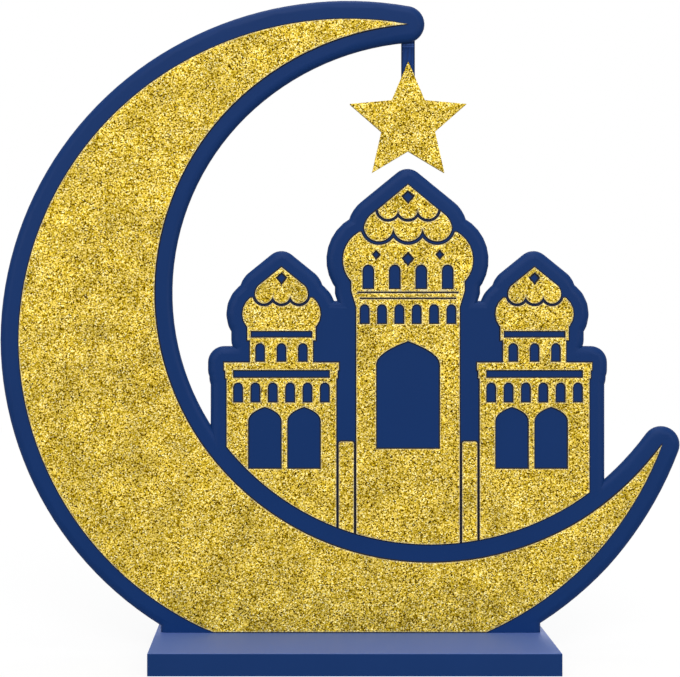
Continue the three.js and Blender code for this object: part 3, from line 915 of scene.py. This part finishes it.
# %% [markdown]
# ## Ribbon
# The ribbon is navy grosgrain, six millimetres wide: fine ribs run across it, and a firmer
# woven edge runs down both sides. It is glued behind the crescent's tip, hangs free for eight
# millimetres and ends between the star's layers. It has to bend where the star swings and
# twist where the star turns, so it is two meshes with the same section, end to end. The upper
# one is stuck to the board and bends below the tip. The lower one twists above the star.

# %% Weave a length of ribbon
RIB_PITCH = 0.00052
RIB_DEPTH = 0.00004
ROWS_PER_RIB = 4
ACROSS = 14
EDGE_SHARE = 0.1


def half_thickness(share, along, full):
    edge = max(0.0, abs(share) - (1 - EDGE_SHARE)) / EDGE_SHARE
    rounding = math.sqrt(max(0.0, 1 - edge * edge)) if edge > 0 else 1.0
    rib = RIB_DEPTH * math.cos(2 * math.pi * along / RIB_PITCH)
    return (full / 2 - RIB_DEPTH + rib) * (0.25 + 0.75 * rounding)


def ribbon_length(name, axis_x, middle_y, width, thickness, bottom, top):
    rows = math.ceil((top - bottom) / RIB_PITCH * ROWS_PER_RIB)
    shares = [2 * i / ACROSS - 1 for i in range(ACROSS + 1)]
    net = bmesh.new()
    uv = net.loops.layers.uv.new("ribbon")
    rings = []
    for row in range(rows + 1):
        z = bottom + (top - bottom) * row / rows
        deep = [half_thickness(share, z, thickness) for share in shares]
        front = [(share, middle_y - half) for share, half in zip(shares, deep)]
        back = [(share, middle_y + half) for share, half in zip(shares, deep)][::-1]
        ring = [net.verts.new((axis_x + share * width / 2, y, z)) for share, y in front + back]
        rings.append((z, ring))
    size = len(rings[0][1])
    across = shares + list(reversed(shares))
    for (low_z, low), (high_z, high) in zip(rings, rings[1:]):
        for i in range(size):
            j = (i + 1) % size
            face = net.faces.new([low[i], low[j], high[j], high[i]])
            face.smooth = True
            corners = [(i, low_z), (j, low_z), (j, high_z), (i, high_z)]
            for corner, (k, z) in zip(face.loops, corners):
                corner[uv].uv = (across[k] * width / 2 * MILLIMETRES, z * MILLIMETRES)
    net.faces.new(list(reversed(rings[0][1])))
    net.faces.new(rings[-1][1])
    bmesh.ops.recalc_face_normals(net, faces=net.faces)
    print("woven:", name, "rows:", rows, "length:", round((top - bottom) * MILLIMETRES, 2), "mm")
    return make_piece(name, net)


# %% [markdown]
# The ribbon's threads shine along the ribs, so its colour, roughness and fine relief all come
# from the same two numbers: how far a point lies along the ribbon and how far across. The shine
# along the ribs is painted into the colour. A band down each side is darker, painted shade
# where the woven edge folds the light away. Just under the tip, where the ribbon bends over,
# the colour is painted lighter: painted highlights, strongest in two creases, and a faint
# broad one over them.

# %% Ribbon material
# Painted highlights under the tip, each as depth below it and reach in millimetres, and share.
CREASE_HIGHLIGHTS = [(0.1, 0.4, 1.0), (1.0, 0.4, 0.6), (0.4, 2.0, 0.15)]
SIDE_STARTS, SIDE_FULL = 2.35, 2.55
SIDE_TONE = 0.42
THREAD_SCALE = (1.1, 0.16, 1.0)
THREAD_HEIGHT = 0.00004
RIBBON_DYE = screen(16, 52, 112)
RIBBON_PAINTED_HIGHLIGHT = screen(80, 118, 200)

ribbon_finish, tree = begin_material("navy_grosgrain")
place = add(tree, "ShaderNodeUVMap", uv_map="ribbon").outputs[0]
along = add(tree, "ShaderNodeSeparateXYZ", {0: place}).outputs
rib_turn = 2 * math.pi / (RIB_PITCH * MILLIMETRES)
ribs = maths(tree, "SINE", maths(tree, "MULTIPLY", along["Y"], rib_turn))
rib_painted_shine = ranged(tree, ribs, -1.0, 1.0, 0.82, 1.1)
thread_place = add(tree, "ShaderNodeMapping", {"Vector": place, "Scale": THREAD_SCALE})
threads = noise(tree, thread_place.outputs[0], 1.0, 2.0)
thread_tone = ranged(tree, threads, low=0.45, high=1.55)
from_middle = maths(tree, "ABSOLUTE", along["X"])
side_tone = ranged(tree, from_middle, SIDE_STARTS, SIDE_FULL, 1.0, SIDE_TONE)
weave_tone = maths(tree, "MULTIPLY", rib_painted_shine, thread_tone)
whole_tone = maths(tree, "MULTIPLY", weave_tone, side_tone)
tip_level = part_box("ribbon_glued_end")[0].z * MILLIMETRES
below_tip = maths(tree, "SUBTRACT", tip_level, along["Y"])
# The painted highlights are summed here and lighten the dye.
crease_highlight = 0.0
for depth, reach, share in CREASE_HIGHLIGHTS:
    away = maths(tree, "ABSOLUTE", maths(tree, "SUBTRACT", below_tip, depth))
    crease_highlight = maths(tree, "ADD", crease_highlight, ranged(tree, away, 0.0, reach, share, 0.0))
dye_and_painted_light = scaled(tree, mixed(tree, crease_highlight, RIBBON_DYE, RIBBON_PAINTED_HIGHLIGHT), whole_tone)
woven = bumped(tree, threads, 0.5, THREAD_HEIGHT)
silk = ranged(tree, threads, low=0.42, high=0.66)
plain = {"Specular IOR Level": 0.1, "Sheen Weight": 0.02, "Sheen Roughness": 0.4}
finish_material(ribbon_finish, dye_and_painted_light, silk, woven, plain)

# %% Hang the ribbon
BEND_LENGTH = 0.0022
TWIST_CLEARANCE = 0.0002

glued_low, glued_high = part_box("ribbon_glued_end")
drop_low, drop_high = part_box("ribbon_drop")
held_low, held_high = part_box("ribbon_star_end")
ribbon_x = (drop_low.x + drop_high.x) / 2
ribbon_y = (drop_low.y + drop_high.y) / 2
ribbon_width = drop_high.x - drop_low.x
ribbon_thickness = drop_high.y - drop_low.y
meeting = glued_low.z - BEND_LENGTH

section = (ribbon_x, ribbon_y, ribbon_width, ribbon_thickness)
upper = ribbon_length("ribbon_upper", *section, meeting, glued_high.z)
lower = ribbon_length("ribbon_lower", *section, held_low.z, meeting)
for piece in (upper, lower):
    piece.data.materials.append(ribbon_finish)
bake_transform(upper, "board", "ribbon", (ribbon_x, ribbon_y, glued_low.z), (ribbon_x, ribbon_y, meeting))
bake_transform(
    lower,
    "ribbon",
    "star",
    (ribbon_x, ribbon_y, meeting),
    (ribbon_x, ribbon_y, held_high.z + TWIST_CLEARANCE),
)
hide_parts("ribbon_glued_end", "ribbon_drop")
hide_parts("ribbon_star_end")
